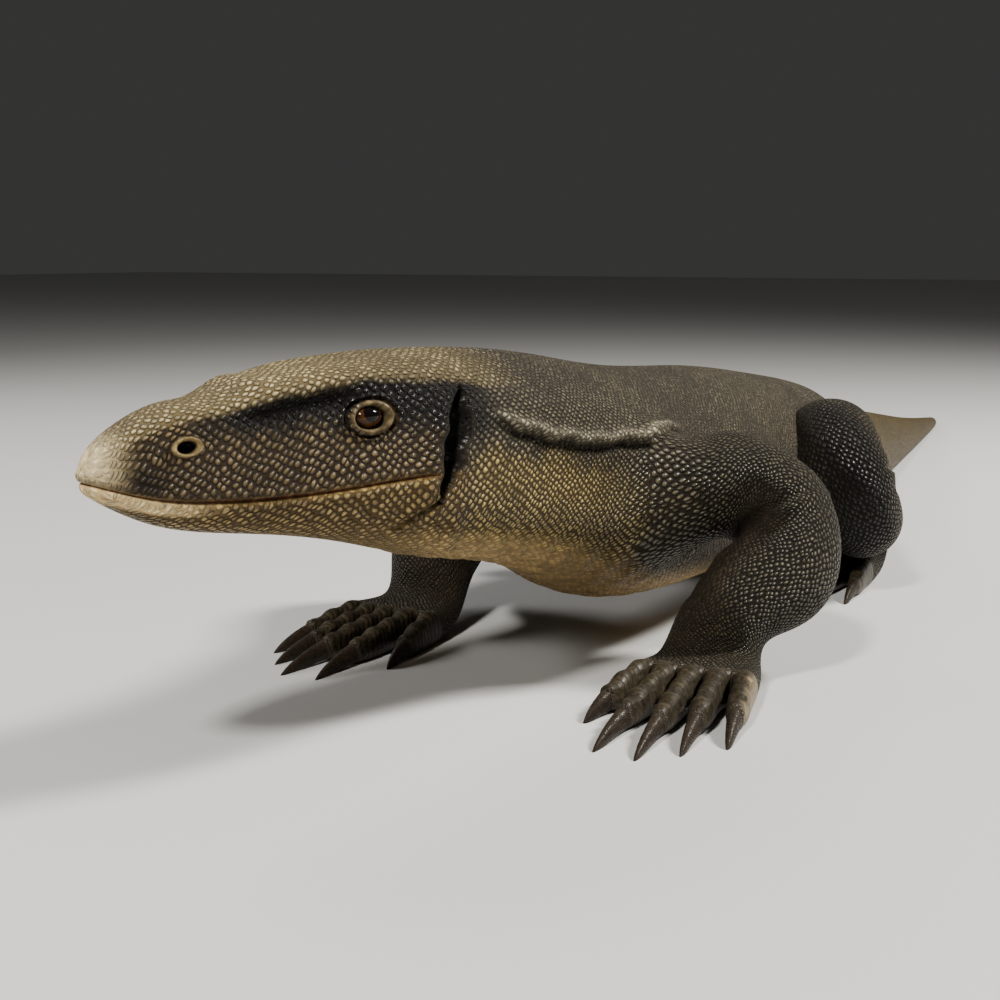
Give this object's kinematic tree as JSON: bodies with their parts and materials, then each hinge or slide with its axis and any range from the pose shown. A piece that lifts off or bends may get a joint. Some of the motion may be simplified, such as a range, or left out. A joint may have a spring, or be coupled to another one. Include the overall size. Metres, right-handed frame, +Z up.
{
  "type": "animal carving",
  "caption": "Wooden monitor lizard carving, standing with its head turned to its right and its long tail lying straight behind, with inlaid amber eyes.",
  "frame": {"origin": "middle of the bounding box at floor level, under the animal", "axes": "+X from the nose towards the tail, +Y towards the animal's right flank, +Z up from the floor"},
  "size_m": [0.878, 0.1642, 0.1019],
  "materials": {
    "carved_wood": "satin dark stain worn to gold-tan on the high spots",
    "eye_glass": "polished amber with a dark pupil"
  },
  "bodies": {
    "root": {"carved_body": "carved_wood", "eye_left": "eye_glass", "eye_right": "eye_glass"}
  },
  "joints": []
}
